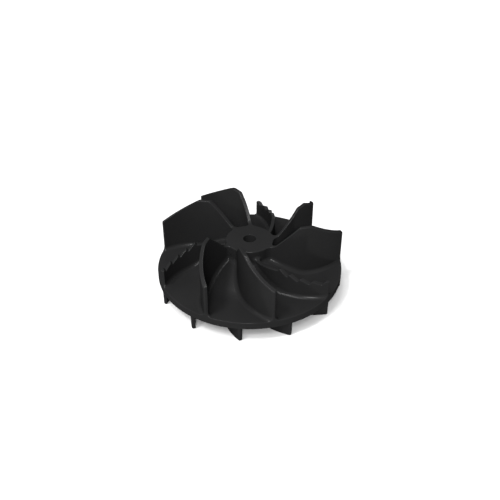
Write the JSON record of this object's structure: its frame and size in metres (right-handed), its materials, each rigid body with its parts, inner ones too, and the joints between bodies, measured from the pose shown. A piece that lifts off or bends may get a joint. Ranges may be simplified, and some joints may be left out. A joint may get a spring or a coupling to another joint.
{
  "type": "blower motor wheel",
  "caption": "Moulded black centrifugal blower wheel with backward-curved blades on both sides of a coned back plate and a split shaft collet with a spring ring.",
  "frame": {"origin": "on the spin axis, in the plane of the lower vanes' bottom edges, which is also the middle of the bounding box's underside", "axes": "+Z along the spin axis towards the air inlet and the tall blades; the tip of a low stepped blade lies on +Y"},
  "size_m": [0.114, 0.114, 0.0467],
  "materials": {
    "plate_plastic": "satin black moulded plastic",
    "hub_plastic": "satin black moulded plastic",
    "collet_plastic": "satin black moulded plastic",
    "blade_plastic": "satin black moulded plastic",
    "vane_plastic": "satin black moulded plastic",
    "spring_steel": "bright drawn spring strip"
  },
  "bodies": {
    "wheel": {"back_plate": "plate_plastic", "hub_boss": "hub_plastic", "shaft_collet": "collet_plastic", "blade_1": "blade_plastic", "blade_2": "blade_plastic", "blade_3": "blade_plastic", "blade_4": "blade_plastic", "blade_5": "blade_plastic", "blade_6": "blade_plastic", "stepped_blade_1": "blade_plastic", "stepped_blade_2": "blade_plastic", "stepped_blade_3": "blade_plastic", "back_vane_1": "vane_plastic", "back_vane_2": "vane_plastic", "back_vane_3": "vane_plastic", "back_vane_4": "vane_plastic", "back_vane_5": "vane_plastic", "back_vane_6": "vane_plastic", "back_vane_7": "vane_plastic", "back_vane_8": "vane_plastic", "back_vane_9": "vane_plastic", "back_vane_10": "vane_plastic", "back_vane_11": "vane_plastic", "back_vane_12": "vane_plastic"},
    "spring_ring": {"collet_spring_ring": "spring_steel"}
  },
  "joints": [
    {"name": "ring_slide", "type": "slide", "parent": "wheel", "child": "spring_ring", "axis": [0, 0, -1], "range_m": [0, 0.009]}
  ]
}
